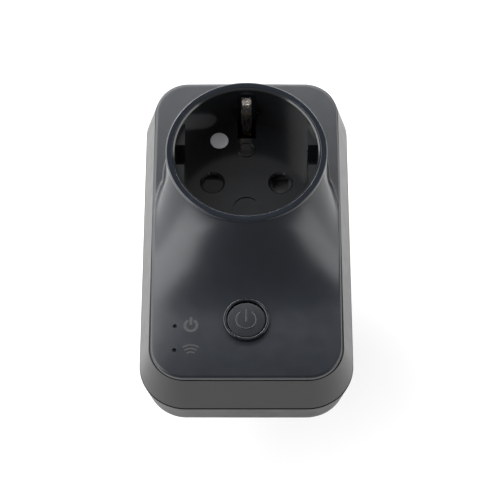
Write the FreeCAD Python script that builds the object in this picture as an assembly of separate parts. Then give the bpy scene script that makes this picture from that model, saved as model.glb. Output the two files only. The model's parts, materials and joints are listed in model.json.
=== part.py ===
"""Smart plug: a mains socket on the front, a mains plug on the back, a relay and a radio board between.

Millimetres. The origin is the centre of the plug's front face, between the two pins. +Z runs out of
the socket, so the pins point to -Z. +Y points to the socket end and +X to the right, seen from the front.
"""
import FreeCAD, Part
import math
import os

V = FreeCAD.Vector
Z_AXIS = V(0, 0, 1)

# ---- levels along Z ----
PIN_LENGTH = 19.0
PLUG_DEPTH = 17.5                       # plug body, from its front face to the back of the case
BACK_Z = PLUG_DEPTH
PARTING_Z = BACK_Z + 10.5               # rear shell to housing frame
SEAT_Z = PARTING_Z + 12.0               # front cover rests on the housing frame
DECK_Z = SEAT_Z + 1.3                   # flat margin of the front cover
RIM_Z = SEAT_Z + 16.5                   # rim of the socket collar
RECESS_DEPTH = 17.5
FLOOR_Z = RIM_Z - RECESS_DEPTH          # floor of the socket recess
FLOOR_T = 1.8
CLEAR = 0.3                             # between separate bodies
FIT = 0.02                              # between two pieces that sit face to face

# ---- outlines, as half width, top, bottom and corner radius ----
COVER_HALF = 25.8
COVER_TOP = 31.5
COVER_BOTTOM = -60.6
COVER_CORNER = 9.6
TAPER = 3.0                             # how far the housing widens from the cover to the parting line
BACK_INSET = 1.9                        # how far the rear shell narrows again towards the wall
WALL = 2.0
PARTING_GAP = 0.5                       # shadow line between rear shell and housing frame

# ---- swept surface of the cover, from the socket's collar to the button end ----
BAND = 0.9                              # plain band of collar left above the sweep
FOOT_R = 23.4                           # foot of the collar on the flat margin
FOOT_SPREAD = math.radians(11)          # the foot lines open towards the button end
FOOT_HALF = 26.7                        # they end here, just past the cover's edge
FOOT_BOTTOM = -62.0
FOOT_BLEND = 14                         # how tightly the foot turns from one line to the next
ARCH_RUN = 25.0                         # the arch has flattened out this far from the collar
PILLOW = 1.5                            # height of the deck's pillow over the margin

# ---- socket ----
COLLAR_R = 21.9
COLLAR_BORE = 20.15
INSERT_R = 20.05
RECESS_R = 19.5
RECESS_FLAT = 16.8                      # half distance between the two side flats
LEDGE_DROP = 2.4                        # the flats start this far below the rim
KEY_WIDTH = 6.2                         # key slots in the side flats
PIN_PITCH = 19.0
PIN_R = 2.4
PIN_X = PIN_PITCH / 2
APERTURE_R = 3.0

# ---- plug ----
PLUG_R = 19.0
PLUG_FLAT = 17.0                        # half distance between the plug's grooved sides

# ---- power button and lamps ----
BUTTON_Y = -44.5
BUTTON_R = 5.1
BEZEL_R = 6.1
BEZEL_BORE = 5.4
BUTTON_TRAVEL = 0.6
LAMP_X = -19.0
LAMP_YS = (-46.0, -52.9)
LAMP_R = 0.5

# ---- boards ----
MAIN_BOARD_Z = 22.4
MAIN_BOARD_T = 1.6
CONTROL_BOARD_Z = 35.6
CONTROL_BOARD_T = 1.2


def box(x0, x1, y0, y1, z0, z1):
    return Part.makeBox(x1 - x0, y1 - y0, z1 - z0, V(x0, y0, z0))


def cylinder(r, z0, z1, x=0.0, y=0.0):
    return Part.makeCylinder(r, z1 - z0, V(x, y, z0), Z_AXIS)


def tube(r_out, r_in, z0, z1, x=0.0, y=0.0):
    return cylinder(r_out, z0, z1, x, y).cut(cylinder(r_in, z0 - 1, z1 + 1, x, y))


def outline(grow, z):
    """The rounded rectangle of the case, grown by `grow` on every side, as a wire at height z."""
    half = COVER_HALF + grow
    top = COVER_TOP + grow
    bottom = COVER_BOTTOM - grow
    r = COVER_CORNER + grow
    k = r * (1 - math.sqrt(0.5))
    edges = []
    corners = (
        (half, top, -1, -1), (-half, top, 1, -1), (-half, bottom, 1, 1), (half, bottom, -1, 1),
    )
    for index, (x, y, sx, sy) in enumerate(corners):
        along_x = V(x + sx * r, y, z)
        along_y = V(x, y + sy * r, z)
        middle = V(x + sx * k, y + sy * k, z)
        start, end = (along_y, along_x) if index % 2 == 0 else (along_x, along_y)
        if edges:
            edges.append(Part.LineSegment(last, start).toShape())
        else:
            first = start
        edges.append(Part.Arc(start, middle, end).toShape())
        last = end
    edges.append(Part.LineSegment(last, first).toShape())
    return Part.Wire(edges)


def slab(grow, z0, z1):
    """A straight prism of the case outline."""
    return Part.Face(outline(grow, z0)).extrude(V(0, 0, z1 - z0))


def tapered(grow0, z0, grow1, z1):
    """A prism whose outline grows from grow0 at z0 to grow1 at z1."""
    return Part.makeLoft([outline(grow0, z0), outline(grow1, z1)], True, True)


def fuse(first, *others):
    return first.fuse(list(others)).removeSplitter()


def bent_strip(points, width, thickness):
    """A strip of constant thickness through (y, z) points, bent about X and centred on X = 0."""
    runs = None
    for (y0, z0), (y1, z1) in zip(points[:-1], points[1:]):
        length = math.hypot(y1 - y0, z1 - z0)
        run = Part.makeBox(width, length, thickness, V(-width / 2, 0, -thickness / 2))
        run.rotate(V(0, 0, 0), V(1, 0, 0), math.degrees(math.atan2(z1 - z0, y1 - y0)))
        run.translate(V(0, y0, z0))
        knuckle = Part.makeCylinder(thickness / 2, width, V(-width / 2, y1, z1), V(1, 0, 0))
        runs = fuse(run, knuckle) if runs is None else fuse(runs, run, knuckle)
    return runs


# ------------------------------------------------------------------ front cover

def smooth(t):
    """0 below 0, 1 above 1, and an even S between."""
    t = min(1.0, max(0.0, t))
    return t * t * (3 - 2 * t)


def foot_radius(angle):
    """Distance from the socket axis to the foot of the sweep, in direction `angle`."""
    ux = abs(math.cos(angle))
    uy = math.sin(angle)
    if uy > math.sin(FOOT_SPREAD):
        return FOOT_R
    reach = []
    towards_line = ux * math.cos(FOOT_SPREAD) + uy * math.sin(FOOT_SPREAD)
    if towards_line > 0.05:
        reach.append(FOOT_R / towards_line)
    if ux > 0.01:
        reach.append(FOOT_HALF / ux)
    if uy < -0.01:
        reach.append(FOOT_BOTTOM / uy)
    return sum(r ** -FOOT_BLEND for r in reach) ** (-1 / FOOT_BLEND)


def foot_width(y):
    """Half the distance between the two foot lines at y."""
    line = FOOT_R / math.cos(FOOT_SPREAD) - min(y, 0.0) * math.tan(FOOT_SPREAD)
    return (line ** -FOOT_BLEND + FOOT_HALF ** -FOOT_BLEND) ** (-1 / FOOT_BLEND)


def arch_height(x, y):
    """Height over the margin of the arch that falls from the collar to the button end.

    It leaves the collar's wall at one height and slope all round, and flattens out towards the button.
    """
    rise = RIM_Z - BAND - DECK_Z
    past = min(1.0, max(0.0, -y - COLLAR_R) / ARCH_RUN)
    first_slope = 2 * COLLAR_R * ARCH_RUN / foot_width(-COLLAR_R) ** 2
    ridge = rise * (1 - past) ** 3 * (1 + (3 - first_slope) * past)
    under_collar = min(0.0, y * y - COLLAR_R ** 2)
    wide = foot_width(y) ** 2
    return ridge * (wide - x * x) / (wide + under_collar)


def pillow_height(x, y):
    """The slight pillow of the deck around the button."""
    across = 1 - abs(x / FOOT_HALF) ** 4
    along = 1 - abs(y / FOOT_BOTTOM) ** 8
    return PILLOW * across * along * smooth((-y - 14) / 20)


def wall_point(foot, t):
    """(radius, height) along the steep wall round the socket end, with its hollow at the foot."""
    run = foot - COLLAR_R
    drop = RIM_Z - BAND - DECK_Z
    controls = (
        (COLLAR_R - 0.3, RIM_Z + 3.0),
        (COLLAR_R, DECK_Z + 0.3 * drop),
        (foot - 0.55 * run, DECK_Z),
        (foot, DECK_Z - 0.25),
    )
    weights = ((1 - t) ** 3, 3 * t * (1 - t) ** 2, 3 * t * t * (1 - t), t ** 3)
    radius = sum(w * p[0] for w, p in zip(weights, controls))
    height = sum(w * p[1] for w, p in zip(weights, controls))
    return radius, height


def sweep_point(angle, t):
    """(radius, height) on the swept surface, from inside the collar at t = 0 to past the foot at t = 1."""
    foot = foot_radius(angle)
    wall_radius, wall_height = wall_point(foot, t)
    start = COLLAR_R - 0.2
    radius = start + (foot + 0.8 - start) * t ** 1.3
    x = radius * math.cos(angle)
    y = radius * math.sin(angle)
    height = DECK_Z + arch_height(x, y) + pillow_height(x, y)
    arch = smooth(-math.sin(angle) / 0.35)
    return wall_radius + arch * (radius - wall_radius), wall_height + arch * (height - wall_height)


def sweep_half(thickness, trim):
    """The right half of everything under the swept surface, moved in and down by `thickness`.

    The surface runs a little past the plane of symmetry at both ends, so that the cut there is clean.
    """
    turns = 44
    steps = 14
    overlap = math.radians(20)
    rows = []
    for i in range(turns + 1):
        angle = -math.pi / 2 - overlap + (math.pi + 2 * overlap) * i / turns
        row = []
        for j in range(steps + 1):
            radius, height = sweep_point(angle, j / steps)
            radius -= thickness
            row.append(V(radius * math.cos(angle), radius * math.sin(angle), height - thickness))
        rows.append(row)
    surface = Part.BSplineSurface()
    surface.interpolate(rows)
    under = surface.toShape().extrude(V(0, 0, -25))
    return under.common(trim.common(box(0, 60, -80, 60, 0, 80)))


def sweep_body(thickness, trim):
    """Both halves of the body under the swept surface, inside `trim`."""
    right = sweep_half(thickness, trim)
    return right.fuse(right.mirror(V(0, 0, 0), V(1, 0, 0))).removeSplitter()


def lamp_points():
    return [(LAMP_X, y) for y in LAMP_YS]


def front_cover():
    """The outer cover: flat margin, collar and sweep, with holes for the button and the lamps."""
    swept = sweep_body(0, slab(0, SEAT_Z, RIM_Z))
    plate = slab(0, SEAT_Z, DECK_Z)
    outer = plate.fuse([swept, cylinder(COLLAR_R, SEAT_Z, RIM_Z)])
    hollow = sweep_body(WALL, slab(-WALL, SEAT_Z - 1, RIM_Z - 3))
    bore = cylinder(COLLAR_BORE, SEAT_Z - 1, RIM_Z + 1)
    lip = Part.makeCone(COLLAR_BORE, COLLAR_BORE + 0.4, 0.4, V(0, 0, RIM_Z - 0.39), Z_AXIS)
    button_hole = cylinder(BEZEL_R + 0.05, SEAT_Z - 1, RIM_Z, 0, BUTTON_Y)
    cover = outer.cut([hollow, bore, lip, button_hole])
    for x, y in lamp_points():
        cover = cover.cut(cylinder(LAMP_R + 0.05, SEAT_Z - 1, RIM_Z, x, y))
    return cover


# ------------------------------------------------------------------ case

RIB = 1.6                               # shelf that the cover sits on
PLUG_SEAT_R = 21.0                      # flange of the plug body inside the rear shell
FLANGE_T = 1.5
BOSS_R = 3.0
BOSS_BORE = 1.2
BOSS_TOP = SEAT_Z - 4.6                 # the bosses end under the control board
BOSS_OUT = 5.37                         # how far a boss stands out from a corner's centre, along X and Y
SCREW_R = 1.2
SCREW_HEAD_R = 2.3
SCREW_HEAD_T = 1.6
SCREW_SINK = 3.0                        # depth of the screw heads' seats below the back
SCREW_END_Z = BOSS_TOP - 2.4
CROSS_HALF = 1.2                        # the cross recess in a screw head
CROSS_W = 0.4
CORNER_X = COVER_HALF - COVER_CORNER
CORNER_TOP_Y = COVER_TOP - COVER_CORNER
CORNER_BOTTOM_Y = COVER_BOTTOM + COVER_CORNER
BOSSES = [
    (sx * (CORNER_X + BOSS_OUT), y)
    for sx in (-1, 1)
    for y in (CORNER_TOP_Y + BOSS_OUT, CORNER_BOTTOM_Y - BOSS_OUT)
]


def grow_at(z):
    """How far the case outline has grown at height z."""
    if z >= PARTING_Z:
        return 0.15 + TAPER * (SEAT_Z - z) / (SEAT_Z - PARTING_Z)
    return 0.15 + TAPER - BACK_INSET * (PARTING_Z - z) / (PARTING_Z - BACK_Z)


def housing_frame():
    """The tapered wall between the front cover and the rear shell."""
    low = PARTING_Z + PARTING_GAP
    high = SEAT_Z - FIT
    outer = tapered(grow_at(low), low, grow_at(SEAT_Z), high)
    inner = tapered(grow_at(low) - WALL, low, grow_at(SEAT_Z) - WALL, high)
    opening = slab(-WALL - RIB, high - 3, high + 1)
    shelf = slab(-1.0, high - RIB, high).cut(opening)
    frame = outer.cut(inner).fuse(shelf)
    inside = tapered(grow_at(low) - 0.5, low, grow_at(SEAT_Z) - 0.5, SEAT_Z)
    for x, y in BOSSES:
        frame = frame.fuse(cylinder(BOSS_R, low, BOSS_TOP, x, y).common(inside))
    for x, y in BOSSES:
        frame = frame.cut(cylinder(BOSS_BORE, low - 1, BOSS_TOP - 0.8, x, y))
    return frame.removeSplitter()


def rear_shell():
    """The shallow shell that faces the wall, with the opening that the plug body stands in."""
    outer = tapered(grow_at(BACK_Z), BACK_Z, grow_at(PARTING_Z), PARTING_Z)
    inner = tapered(grow_at(BACK_Z) - WALL, BACK_Z + WALL, grow_at(PARTING_Z) - WALL, PARTING_Z + 0.02)
    back_edge = [e for e in outer.Edges if abs(e.BoundBox.ZMax - BACK_Z) < 0.01]
    shell = outer.makeFillet(1.0, back_edge).cut(inner)
    tongue = slab(grow_at(PARTING_Z) - WALL + 0.6, PARTING_Z - 1, PARTING_Z + PARTING_GAP - FIT)
    tongue = tongue.cut(slab(grow_at(PARTING_Z) - WALL, PARTING_Z - 2, PARTING_Z + 2))
    shell = shell.fuse(tongue)
    for x, y in BOSSES:
        post = cylinder(BOSS_R, BACK_Z + 0.5, PARTING_Z + PARTING_GAP - FIT, x, y)
        shell = shell.fuse(post)
    for x, y in BOSSES:
        shell = shell.cut(cylinder(SCREW_R + 0.1, BACK_Z - 1, PARTING_Z + 1, x, y))
        shell = shell.cut(cylinder(SCREW_HEAD_R + 0.15, BACK_Z - 1, BACK_Z + SCREW_SINK, x, y))
    shell = shell.cut(cylinder(PLUG_R + 0.1, BACK_Z - 1, BACK_Z + WALL + 1))
    return shell.removeSplitter()


def case_screws():
    """Four countersunk self-tapping screws, driven in from the wall side."""
    screws = []
    for x, y in BOSSES:
        seat = BACK_Z + SCREW_SINK
        head = cylinder(SCREW_HEAD_R, seat - SCREW_HEAD_T, seat, x, y)
        shank = cylinder(SCREW_R - FIT, seat, SCREW_END_Z, x, y)
        tip = Part.makeCone(SCREW_R - FIT, 0.3, 1.2, V(x, y, SCREW_END_Z), Z_AXIS)
        face = seat - SCREW_HEAD_T
        bar = box(-CROSS_HALF, CROSS_HALF, -CROSS_W / 2, CROSS_W / 2, face, face + 0.8)
        cross = bar.fuse(box(-CROSS_W / 2, CROSS_W / 2, -CROSS_HALF, CROSS_HALF, face, face + 0.8))
        cross.translate(V(x, y, 0))
        screws.append(fuse(head, shank, tip).cut(cross))
    return Part.makeCompound(screws)


# ------------------------------------------------------------------ plug

EARTH_STRIP_W = 6.0
EARTH_STRIP_T = 0.8
EARTH_HOLE_R = 2.4
EARTH_HOLE_Y = 10.0
EARTH_TUBE_END = 16.0
PIN_ROOT_R = 2.7                        # the pins are thicker where the plug body grips them
TAIL_Z = BACK_Z + WALL + 2.2            # the pins' rear tails end here
FLANGE_Z = BACK_Z + WALL + 0.05         # front face of the flange, on the rear shell
EARTH_BAR_Z = FLANGE_Z + FLANGE_T + 0.9
GROOVE_DEPTH = 1.6                      # guide grooves in the plug's flat sides


def plug_body():
    """The round insulating plug that enters the wall socket, with its side grooves and flats."""
    flats = box(-PLUG_FLAT, PLUG_FLAT, -PLUG_R, PLUG_R, 0, FLANGE_Z)
    round_root = cylinder(PLUG_R, BACK_Z - 1.0, FLANGE_Z)
    body = cylinder(PLUG_R, 0, FLANGE_Z).common(flats.fuse(round_root))
    body = body.fuse(cylinder(PLUG_SEAT_R, FLANGE_Z, FLANGE_Z + FLANGE_T))
    slot_half = EARTH_STRIP_W / 2 + 0.1
    for turn in (0, 180):
        groove = box(PLUG_FLAT - GROOVE_DEPTH, PLUG_R + 1, -KEY_WIDTH / 2, KEY_WIDTH / 2, -1, BACK_Z - 3)
        slot = box(-slot_half, slot_half, PLUG_R - 2.6, PLUG_SEAT_R + 1, -1, BACK_Z + 8)
        pin_hole = cylinder(PIN_ROOT_R + FIT, -1, BACK_Z + 8, PIN_X, 0)
        for cutter in (groove, slot, pin_hole):
            cutter.rotate(V(0, 0, 0), Z_AXIS, turn)
            body = body.cut(cutter)
    body = body.cut(cylinder(EARTH_HOLE_R + 0.55, -1, EARTH_TUBE_END + 0.2, 0, EARTH_HOLE_Y))
    return body.removeSplitter()


def plug_pin(side):
    """One round pin with its tapered tip, and the flattened tail that the inner strap is welded to."""
    x = side * PIN_X
    tip_length = PIN_R * 0.6
    tail_length = 2.4
    shank = cylinder(PIN_R, -PIN_LENGTH + tip_length, 0, x, 0)
    root = cylinder(PIN_ROOT_R, 0, TAIL_Z - tail_length, x, 0)
    tip = Part.makeCone(PIN_R * 0.45, PIN_R, tip_length, V(x, 0, -PIN_LENGTH), Z_AXIS)
    tail = box(x - 1.9, x + 1.9, -0.5, 0.5, TAIL_Z - tail_length, TAIL_Z)
    return fuse(shank, tip, root, tail)


def earth_hole_tube():
    """The sprung sleeve for the earth pin of sockets that have one."""
    outer = cylinder(EARTH_HOLE_R + 0.5, 0.8, EARTH_TUBE_END, 0, EARTH_HOLE_Y)
    return outer.cut(cylinder(EARTH_HOLE_R, 0.7, EARTH_TUBE_END - 0.8, 0, EARTH_HOLE_Y))


def plug_earth_contact(side):
    """The plated strip along the plug's edge, bent in over the flange."""
    y0 = PLUG_R - 2.4
    y1 = y0 + EARTH_STRIP_T
    half = EARTH_STRIP_W / 2
    strip = box(-half, half, y0, y1, 1.2, EARTH_BAR_Z)
    pad = box(-half, half, y0, y0 + 1.3, 5.0, 13.0)
    foot = box(-half, half, y0 - 3.0, y1, EARTH_BAR_Z - EARTH_STRIP_T, EARTH_BAR_Z)
    contact = fuse(strip, pad, foot)
    if side < 0:
        contact.rotate(V(0, 0, 0), Z_AXIS, 180)
    return contact


def earth_bar():
    """The flat bar that joins both earth strips of the plug to both earth clips of the socket."""
    half = 2.6
    z0 = EARTH_BAR_Z + FIT
    end = CLIP_FOOT_Y - 0.1
    bar = box(-half, half, -end, end, z0, z0 + EARTH_STRIP_T)
    for y in (-end, end):
        bar = bar.fuse(box(-half / 2, half / 2, y - 0.4, y + 0.4, z0, CLIP_FOOT_Z - FIT))
    return bar.removeSplitter()


# ------------------------------------------------------------------ socket

SLOT_W = 5.1                            # slots in the recess wall and floor for the earth clips
SLOT_IN_Y = 14.4
SLOT_TOP = RIM_Z - 2.4
CARRIER_R = 18.4
CARRIER_HALF_X = 16.0
CARRIER_HALF_Y = 15.6
CARRIER_TOP = 35.0
CARRIER_BOTTOM = 26.0
WELL_R = 4.6                            # well for the shutter's spring
WELL_DEPTH = 2.6
CONTACT_R = 3.1
CONTACT_GRIP_R = PIN_R - 0.05           # the sleeves are a little tighter than a pin
CONTACT_TOP = 34.4
CONTACT_FOOT_Z = 26.4
CONTACT_T = 0.8
SHUTTER_TOP = FLOOR_Z - FLOOR_T - CLEAR
SHUTTER_T = 1.3
PIVOT_R = 1.6
ARM_HALF = 2.2
DISC_XY = (-7.7, 13.6)
DISC_R = 2.55
MARKS = ((10.8, 2.45), (-8.6, 4.25))    # raised rings on the recess floor, as y and radius
MARK_LINE = 0.35
MARK_H = 0.3
CLIP_W = 2.9
CLIP_T = 0.6
CLIP_FOOT_Y = 18.2
CLIP_FOOT_Z = FLOOR_Z - FLOOR_T - 1.2
CLIP_NOSE = (17.4, RIM_Z - 8.3)         # the clips touch a guest plug here
CLIP_END = (18.9, RIM_Z - 3.4)


def socket_insert():
    """The cup that lines the collar, with flats, key slots, pin holes and slots for the earth clips."""
    bottom = FLOOR_Z - FLOOR_T
    cup = cylinder(INSERT_R, bottom, RIM_Z - 0.05)
    recess = cylinder(RECESS_R, FLOOR_Z, RIM_Z + 1)
    band = box(-RECESS_FLAT, RECESS_FLAT, -30, 30, FLOOR_Z - 1, RIM_Z + 1)
    top = cylinder(RECESS_R, RIM_Z - LEDGE_DROP, RIM_Z + 1)
    keys = box(-RECESS_R, RECESS_R, -KEY_WIDTH / 2, KEY_WIDTH / 2, FLOOR_Z + 6, RIM_Z)
    mouth = Part.makeCone(RECESS_R, RECESS_R + 0.4, 0.4, V(0, 0, RIM_Z - 0.44), Z_AXIS)
    cup = cup.cut([recess.common(band), top, keys.common(recess), mouth])
    for x in (-PIN_X, PIN_X):
        hole = cylinder(APERTURE_R, bottom - 1, FLOOR_Z + 1, x, 0)
        lead_in = Part.makeCone(APERTURE_R, APERTURE_R + 0.5, 0.5, V(x, 0, FLOOR_Z - 0.49), Z_AXIS)
        cup = cup.cut([hole, lead_in])
    for y0, y1 in ((SLOT_IN_Y, INSERT_R + 1), (-INSERT_R - 1, -SLOT_IN_Y)):
        cup = cup.cut(box(-SLOT_W / 2, SLOT_W / 2, y0, y1, bottom - 1, SLOT_TOP))
    for y, r in MARKS:
        cup = cup.fuse(tube(r, r - MARK_LINE, FLOOR_Z - 0.5, FLOOR_Z + MARK_H, 0, y))
    pivot = cylinder(PIVOT_R - 0.05, SHUTTER_TOP - SHUTTER_T - CLEAR, bottom + 0.5)
    cup = cup.fuse(pivot)
    return cup.removeSplitter()


def seal_disc():
    """The small pale seal stuck to the recess floor."""
    return cylinder(DISC_R, FLOOR_Z + 0.01, FLOOR_Z + 0.25, *DISC_XY)


def shutter():
    """The child shutter: a disc with two lobes that close the pin holes, turning about the socket axis."""
    z0 = SHUTTER_TOP - SHUTTER_T
    ramp_angle = 12
    disc = cylinder(4.2, z0, SHUTTER_TOP)
    for turn in (0, 180):
        arm = box(0, PIN_X, -ARM_HALF, ARM_HALF, z0, SHUTTER_TOP)
        blade = arm.fuse(cylinder(APERTURE_R + 0.3, z0, SHUTTER_TOP, PIN_X, 0))
        ramp = box(-ARM_HALF, ARM_HALF, -ARM_HALF, ARM_HALF, -0.01, 3.0)
        ramp.rotate(V(0, 0, 0), V(1, 0, 0), -ramp_angle)
        ramp.translate(V(PIN_X, 0, SHUTTER_TOP - 0.5))
        blade = blade.cut(ramp)
        blade.rotate(V(0, 0, 0), Z_AXIS, turn)
        disc = disc.fuse(blade)
    peg = cylinder(0.6, z0 - 0.8, z0, 0, 3.0)
    return disc.fuse(peg).cut(cylinder(PIVOT_R, z0 - 2, SHUTTER_TOP + 1)).removeSplitter()


def contact_carrier():
    """The block under the recess floor that holds the contacts and the shutter's spring."""
    low = CARRIER_BOTTOM
    under_floor = FLOOR_Z - FLOOR_T
    sides = box(-CARRIER_HALF_X, CARRIER_HALF_X, -CARRIER_HALF_Y, CARRIER_HALF_Y, low, under_floor)
    block = cylinder(CARRIER_R, low, CARRIER_TOP).common(sides)
    for x in (-PIN_X, PIN_X):
        bore = cylinder(CONTACT_R + 0.35, low - 1, CARRIER_TOP + 1, x, 0)
        foot_slot = box(x - 2.4, x + 2.4, -6.5, 6.5, low - 1, low + 1.2)
        block = block.cut([bore, foot_slot])
    well = cylinder(WELL_R, CARRIER_TOP - WELL_DEPTH, CARRIER_TOP + 1)
    strap_slot = box(PIN_X + 2.2, PIN_X + 8.0, -CARRIER_R, -0.5, low - 1, low + 0.7)
    rim = tube(16.9, 15.2, CARRIER_TOP - 0.5, under_floor).common(sides)
    rim = rim.cut(box(-7, 7, -CARRIER_R, CARRIER_R, low, under_floor))
    return block.cut([well, strap_slot]).fuse(rim).removeSplitter()


def shutter_spring():
    """The small torsion coil in the carrier's well that turns the shutter back."""
    z0 = CARRIER_TOP - WELL_DEPTH + 0.05
    wire_r = 0.25
    coil_r = 2.3
    pitch = 0.6
    turns = 2.5
    helix = Part.makeHelix(pitch, pitch * turns, coil_r)
    start = Part.Circle(V(coil_r, 0, 0), V(0, 1, pitch / (2 * math.pi * coil_r)), wire_r)
    wire = Part.Wire(helix.Edges)
    coil = wire.makePipeShell([Part.Wire([start.toShape()])], True, True)
    coil.translate(V(0, 0, z0 + wire_r))
    return coil


def socket_contact(side):
    """A slotted spring sleeve that grips one pin of the guest plug, with its foot plate."""
    x = side * PIN_X
    low = CONTACT_FOOT_Z
    flare_h = 1.2
    sleeve = tube(CONTACT_R, CONTACT_GRIP_R, low + CONTACT_T, CONTACT_TOP, x, 0)
    flare = Part.makeCone(CONTACT_GRIP_R, CONTACT_R - 0.1, flare_h, V(x, 0, CONTACT_TOP - flare_h), Z_AXIS)
    slit = box(x - 4, x + 4, -0.35, 0.35, low + 3.0, CONTACT_TOP + 1)
    foot = box(x - 2.1, x + 2.1, -6.0, 6.0, low, low + CONTACT_T)
    base = cylinder(CONTACT_R, low, low + 0.9, x, 0)
    return fuse(sleeve.cut([flare, slit]), foot, base)


def earth_clip(side):
    """A sprung earth clip: it leans in to its nose and flares out again as a lead-in."""
    path = (
        (CLIP_FOOT_Y - 0.1, CLIP_FOOT_Z + 0.3),
        (CLIP_FOOT_Y, FLOOR_Z + 3.5),
        (CLIP_NOSE[0] + 0.4, CLIP_NOSE[1] - 1.4),
        CLIP_NOSE,
        CLIP_END,
    )
    clip = bent_strip(path, CLIP_W, CLIP_T)
    if side < 0:
        clip.rotate(V(0, 0, 0), Z_AXIS, 180)
    return clip


# ------------------------------------------------------------------ button, lamps

CONTROL_TOP = CONTROL_BOARD_Z + CONTROL_BOARD_T
CAP_TOP = 43.6
CAP_H = 2.2
DISH_R = 60.0                           # radius of the shallow dish in the cap's face
BEZEL_TOP = 43.9
STEM_R = 2.0
PLUNGER_R = 1.5
PLUNGER_TOP = CONTROL_TOP + 3.4
TACT_TOP = CONTROL_TOP + 2.2
TACT_HALF = 3.0
LAMP_TOPS = (42.2, 42.0)                # the light pipes end just below the cover's surface
LED_H = 0.8


def power_button():
    """The round cap with its dished face, skirt and stem."""
    low = CAP_TOP - CAP_H
    cap = cylinder(BUTTON_R, low, CAP_TOP, 0, BUTTON_Y)
    dish = Part.makeSphere(DISH_R, V(0, BUTTON_Y, CAP_TOP + DISH_R - 0.25))
    skirt = cylinder(BUTTON_R + 0.7, low - 1.0, low, 0, BUTTON_Y)
    stem = cylinder(STEM_R, PLUNGER_TOP, low, 0, BUTTON_Y)
    return fuse(cap.cut(dish), skirt, stem)


def button_bezel():
    """The glossy ring around the button, let into the cover."""
    low = CAP_TOP - 2.0
    ring = tube(BEZEL_R, BEZEL_BORE, low, BEZEL_TOP, 0, BUTTON_Y)
    crown = [e for e in ring.Edges if abs(e.BoundBox.ZMin - BEZEL_TOP) < 0.01]
    return ring.makeFillet(0.28, crown)


def tact_switch():
    """The case of the small push switch on the control board."""
    case = box(-TACT_HALF, TACT_HALF, BUTTON_Y - TACT_HALF, BUTTON_Y + TACT_HALF, CONTROL_TOP + FIT, TACT_TOP)
    return case.cut(cylinder(PLUNGER_R + 0.1, CONTROL_TOP + 0.6, TACT_TOP + 1, 0, BUTTON_Y))


def tact_plunger():
    """The switch's plunger, which the button's stem pushes."""
    return cylinder(PLUNGER_R, TACT_TOP - 0.6, PLUNGER_TOP - 0.01, 0, BUTTON_Y)


def light_pipe(index):
    """A clear rod from the lamp on the board to the pinhole in the cover."""
    x, y = lamp_points()[index]
    foot = CONTROL_TOP + 1.1
    shaft = cylinder(LAMP_R, foot + 1.6, LAMP_TOPS[index], x, y)
    collar = cylinder(1.2, foot, foot + 1.6, x, y)
    return fuse(shaft, collar)


def status_led(index):
    """One surface-mounted lamp on the control board."""
    x, y = lamp_points()[index]
    return box(x - 0.8, x + 0.8, y - 0.5, y + 0.5, CONTROL_TOP + FIT, CONTROL_TOP + LED_H)


# ------------------------------------------------------------------ boards

MAIN_BOARD_EDGE = -21.8                 # the boards' edges on the socket side
CONTROL_BOARD_EDGE = -25.0
MAIN_TOP = MAIN_BOARD_Z + MAIN_BOARD_T
ON_MAIN = MAIN_TOP + FIT                # components stand here
ON_CONTROL = CONTROL_TOP + FIT
UNDER_CONTROL = CONTROL_BOARD_Z - FIT
TRANSFORMER_XY = (-12.0, -34.0)
SPACER_R = 1.4
SPACERS = ((-20.2, -27.0), (20.2, -27.0), (-14.8, -55.0), (14.8, -55.0))
CAN_R = 3.0
CAN_LENGTH = 9.5
CAN_XS = (-8.0, -1.5)
RADIO_T = 0.8


def main_board():
    """The power board on the floor of the case."""
    inside = slab(grow_at(MAIN_BOARD_Z) - WALL - 0.5, MAIN_BOARD_Z, MAIN_TOP)
    board = inside.common(box(-40, 40, -80, MAIN_BOARD_EDGE, MAIN_BOARD_Z, MAIN_TOP))
    for x, y in BOSSES[1::2]:
        board = board.cut(cylinder(BOSS_R + 0.4, BACK_Z, SEAT_Z, x, y))
    return board


def control_board():
    """The board under the button, with the radio module and the lamps."""
    inside = slab(-WALL - RIB - CLEAR, CONTROL_BOARD_Z, CONTROL_TOP)
    return inside.common(box(-40, 40, -80, CONTROL_BOARD_EDGE, CONTROL_BOARD_Z, CONTROL_TOP))


def board_spacers():
    """Four posts that carry the control board on the main board."""
    return Part.makeCompound([cylinder(SPACER_R, ON_MAIN, UNDER_CONTROL, x, y) for x, y in SPACERS])


def relay():
    """The sealed relay that switches the line."""
    return box(2.0, 18.0, -45.0, -26.5, ON_MAIN, MAIN_TOP + 10.8)


def transformer_core():
    """The ferrite frame of the small switching transformer."""
    x, y = TRANSFORMER_XY
    core = box(x - 5, x + 5, y - 6, y + 6, MAIN_TOP + 1.0, MAIN_TOP + 9.0)
    window = box(x - 3.4, x + 3.4, y - 7, y + 7, MAIN_TOP + 2.2, MAIN_TOP + 7.8)
    return core.cut(window)


def transformer_coil():
    """The wound bobbin through the core's window, standing on its two pin rows."""
    x, y = TRANSFORMER_XY
    half = 3.2
    end = 7.5
    coil = box(x - half, x + half, y - end, y + end, MAIN_TOP + 2.4, MAIN_TOP + 7.6)
    for y0 in (y - end, y + end - 1.0):
        coil = coil.fuse(box(x - half, x + half, y0, y0 + 1.0, ON_MAIN, MAIN_TOP + 3.0))
    return coil.removeSplitter()


def smoothing_capacitors():
    """Two aluminium cans, lying flat on the power board."""
    ends = [V(x, -56.0, MAIN_TOP + CAN_R + 0.1) for x in CAN_XS]
    return Part.makeCompound([Part.makeCylinder(CAN_R, CAN_LENGTH, end, V(0, 1, 0)) for end in ends])


def suppression_capacitor():
    """The boxed film capacitor across the mains."""
    return box(2.0, 12.5, -56.5, -50.5, ON_MAIN, MAIN_TOP + 9.5)


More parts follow.
